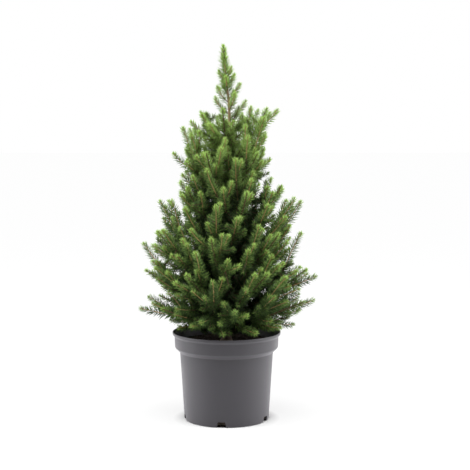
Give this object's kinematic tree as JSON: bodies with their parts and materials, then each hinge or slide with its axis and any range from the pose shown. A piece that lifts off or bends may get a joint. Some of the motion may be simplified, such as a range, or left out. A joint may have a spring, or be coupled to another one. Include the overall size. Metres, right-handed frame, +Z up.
{
  "type": "potted dwarf spruce",
  "caption": "Young cone-shaped dwarf white spruce in a round tapered plastic nursery pot with a deep rim band and drain notches in its foot.",
  "frame": {"origin": "centre of the pot's underside, on the ground", "axes": "+Z up along the pot's axis, -Y towards the side that faces the viewer"},
  "size_m": [0.3222, 0.3138, 0.6582],
  "materials": {
    "pot": "smooth, slightly satin, injection moulded",
    "soil": "moist peat potting mix, crumbly and matte",
    "bark": "thin tan to grey-brown bark with small needle scars",
    "needles": "slender soft needles, slightly waxy"
  },
  "bodies": {
    "root": {"bough_high_1": "bark", "bough_high_2": "bark", "bough_high_3": "bark", "bough_high_4": "bark", "bough_high_5": "bark", "bough_middle_1": "bark", "bough_middle_2": "bark", "bough_middle_3": "bark", "bough_middle_4": "bark", "bough_middle_5": "bark", "bough_middle_6": "bark", "bough_skirt_1": "bark", "bough_skirt_2": "bark", "bough_skirt_3": "bark", "bough_skirt_4": "bark", "bough_skirt_5": "bark", "bough_skirt_6": "bark", "bough_wide_1": "bark", "bough_wide_2": "bark", "bough_wide_3": "bark", "bough_wide_4": "bark", "bough_wide_5": "bark", "bough_wide_6": "bark", "foliage_high_1": "needles", "foliage_high_2": "needles", "foliage_high_3": "needles", "foliage_high_4": "needles", "foliage_high_5": "needles", "foliage_leader": "needles", "foliage_middle_1": "needles", "foliage_middle_2": "needles", "foliage_middle_3": "needles", "foliage_middle_4": "needles", "foliage_middle_5": "needles", "foliage_middle_6": "needles", "foliage_skirt_1": "needles", "foliage_skirt_2": "needles", "foliage_skirt_3": "needles", "foliage_skirt_4": "needles", "foliage_skirt_5": "needles", "foliage_skirt_6": "needles", "foliage_top_1": "needles", "foliage_top_2": "needles", "foliage_top_3": "needles", "foliage_top_4": "needles", "foliage_upper_1": "needles", "foliage_upper_2": "needles", "foliage_upper_3": "needles", "foliage_upper_4": "needles", "foliage_upper_5": "needles", "foliage_wide_1": "needles", "foliage_wide_2": "needles", "foliage_wide_3": "needles", "foliage_wide_4": "needles", "foliage_wide_5": "needles", "foliage_wide_6": "needles", "pot": "pot", "soil": "soil", "trunk": "bark"}
  },
  "joints": []
}
